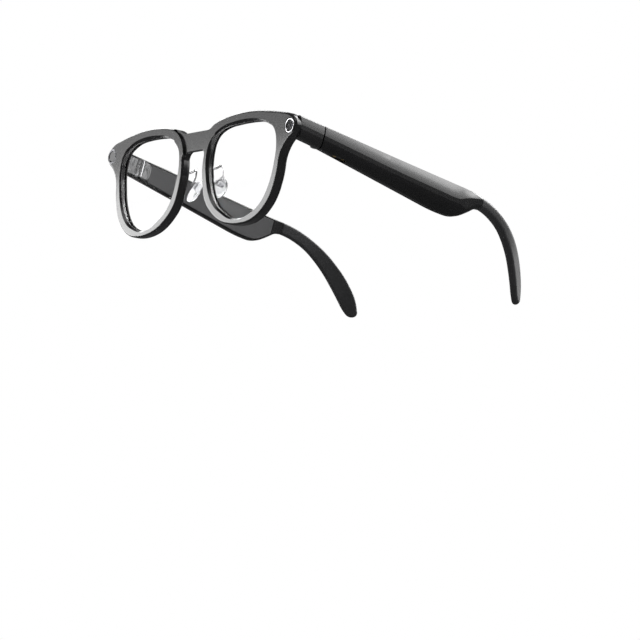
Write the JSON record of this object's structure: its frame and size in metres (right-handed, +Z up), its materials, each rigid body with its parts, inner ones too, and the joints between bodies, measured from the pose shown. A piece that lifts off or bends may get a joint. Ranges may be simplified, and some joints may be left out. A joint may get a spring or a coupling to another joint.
{
  "type": "smart glasses",
  "caption": "Black camera glasses: deep rounded rims with clear lenses, soft nose pads, thick electronic temples that fold, and curved ear tips.",
  "frame": {"origin": "on the surface the glasses stand on, midway between the temples and midway front to back", "axes": "+X to the wearer's left, +Y from the front back along the temples, +Z up"},
  "size_m": [0.1534, 0.148, 0.0523],
  "materials": {
    "front_plastic": "semi-gloss black injection-moulded nylon",
    "rear_plastic": "semi-gloss black injection-moulded nylon",
    "temple_plastic": "semi-gloss black injection-moulded nylon",
    "cover_plastic": "satin black nylon cover",
    "tip_rubber": "smooth satin black elastomer",
    "clear_lens": "clear coated lens",
    "dark_glass": "dark window",
    "camera_glass": "coated lens element",
    "bezel_metal": "polished ring",
    "barrel_plastic": "deep black, unglazed",
    "board_laminate": "solder-masked circuit board",
    "flex_polyimide": "amber flexible circuit",
    "hinge_steel": "bright steel",
    "screw_steel": "bright steel",
    "pad_silicone": "clear soft silicone",
    "battery_foil": "laminated foil pouch",
    "speaker_plastic": "moulded speaker box",
    "grille_metal": "dark pierced sheet",
    "can_metal": "small pressed can",
    "button_plastic": "semi-gloss black key cap",
    "gold_contact": "gold-plated pad",
    "magnet_metal": "plated magnet"
  },
  "bodies": {
    "front": {"front_shell": "front_plastic", "rear_shell": "rear_plastic", "brow_flex": "flex_polyimide", "camera_bezel": "bezel_metal", "camera_window": "dark_glass", "camera_barrel": "barrel_plastic", "camera_element": "camera_glass", "camera_board": "board_laminate", "light_bezel": "bezel_metal", "light_window": "dark_glass", "light_board": "board_laminate", "lens_left": "clear_lens", "hinge_front_leaf_left": "hinge_steel", "hinge_screw_left": "screw_steel", "leaf_screws_left": "screw_steel", "pad_arm_left": "hinge_steel", "pad_screw_left": "screw_steel", "lens_right": "clear_lens", "hinge_front_leaf_right": "hinge_steel", "hinge_screw_right": "screw_steel", "leaf_screws_right": "screw_steel", "pad_arm_right": "hinge_steel", "pad_screw_right": "screw_steel"},
    "temple_left": {"temple_casing_left": "temple_plastic", "temple_cover_left": "cover_plastic", "ear_tip_left": "tip_rubber", "ear_core_left": "screw_steel", "battery_left": "battery_foil", "circuit_board_left": "board_laminate", "speaker_left": "speaker_plastic", "speaker_grille_left": "grille_metal", "microphone_left": "can_metal", "hinge_temple_leaf_left": "hinge_steel", "charge_contacts": "gold_contact", "charge_magnet": "magnet_metal"},
    "temple_right": {"temple_casing_right": "temple_plastic", "temple_cover_right": "cover_plastic", "ear_tip_right": "tip_rubber", "ear_core_right": "screw_steel", "battery_right": "battery_foil", "circuit_board_right": "board_laminate", "speaker_right": "speaker_plastic", "speaker_grille_right": "grille_metal", "microphone_right": "can_metal", "hinge_temple_leaf_right": "hinge_steel", "button_switch": "can_metal", "touch_sensor": "flex_polyimide"},
    "nose_pad_left": {"nose_pad_left": "pad_silicone", "pad_core_left": "hinge_steel"},
    "nose_pad_right": {"nose_pad_right": "pad_silicone", "pad_core_right": "hinge_steel"},
    "button": {"capture_button": "button_plastic"}
  },
  "joints": [
    {"name": "fold_left", "type": "hinge", "parent": "front", "child": "temple_left", "pos_m": [0.0672, -0.05656, 0.04102], "axis": [0, 0.0958, 0.9954], "range_deg": [0, 88]},
    {"name": "fold_right", "type": "hinge", "parent": "front", "child": "temple_right", "pos_m": [-0.0672, -0.05656, 0.04102], "axis": [0, -0.0958, -0.9954], "range_deg": [0, 77]},
    {"name": "pad_rock_left", "type": "hinge", "parent": "front", "child": "nose_pad_left", "pos_m": [0.01062, -0.06218, 0.02624], "axis": [-0.5905, -0.7662, 0.2534], "range_deg": [-7, 7]},
    {"name": "pad_rock_right", "type": "hinge", "parent": "front", "child": "nose_pad_right", "pos_m": [-0.01062, -0.06218, 0.02624], "axis": [-0.5905, 0.7662, -0.2534], "range_deg": [-7, 7]},
    {"name": "button_press", "type": "slide", "parent": "temple_right", "child": "button", "axis": [0, -0.0958, -0.9954], "range_m": [0, 0.0003], "stiffness_N_per_m": 1500, "springref_m": -0.0002}
  ]
}
